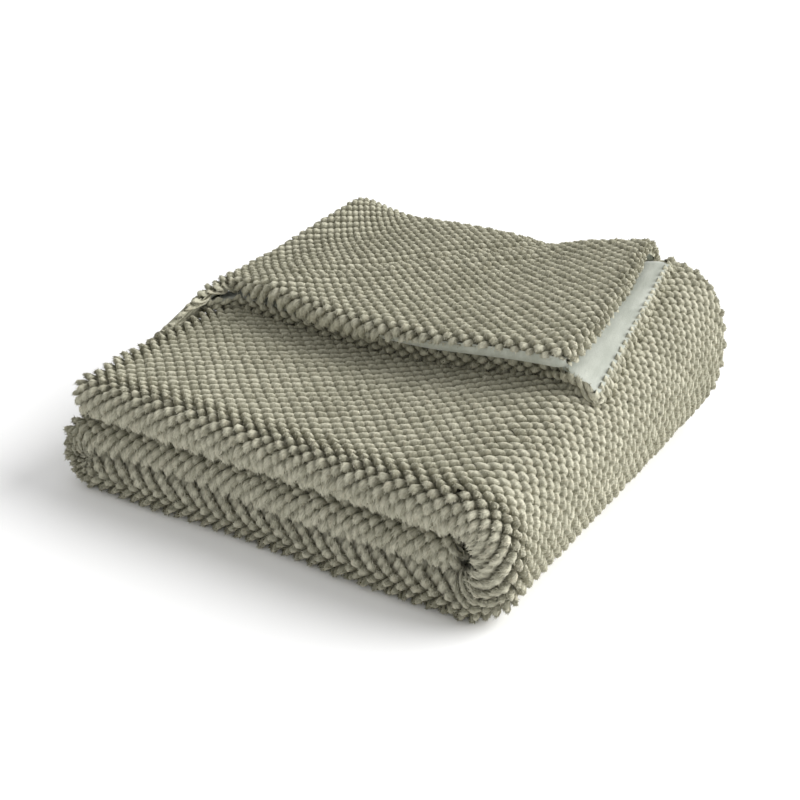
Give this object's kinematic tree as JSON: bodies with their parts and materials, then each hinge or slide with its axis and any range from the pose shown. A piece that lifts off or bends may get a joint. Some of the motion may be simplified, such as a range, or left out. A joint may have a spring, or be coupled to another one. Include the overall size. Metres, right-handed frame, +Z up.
{
  "type": "folded plush throw blanket",
  "caption": "A thick plush throw with a tufted face and a smooth reverse, folded into a soft rectangular stack with its hems turned back over the top as a flap.",
  "frame": {"origin": "centre of the resting face, under the middle of the bounding box", "axes": "+Z up, +X along the front that shows the rolls, towards the wide loop, +Y towards the back fold"},
  "size_m": [0.42, 0.4098, 0.1679],
  "materials": {
    "plush": "soft grey olive plush pile, sculpted in small tufts",
    "reverse": "smooth pale sage velvet with a soft sheen"
  },
  "bodies": {
    "root": {"plush_face": "plush", "smooth_reverse": "reverse"}
  },
  "joints": []
}
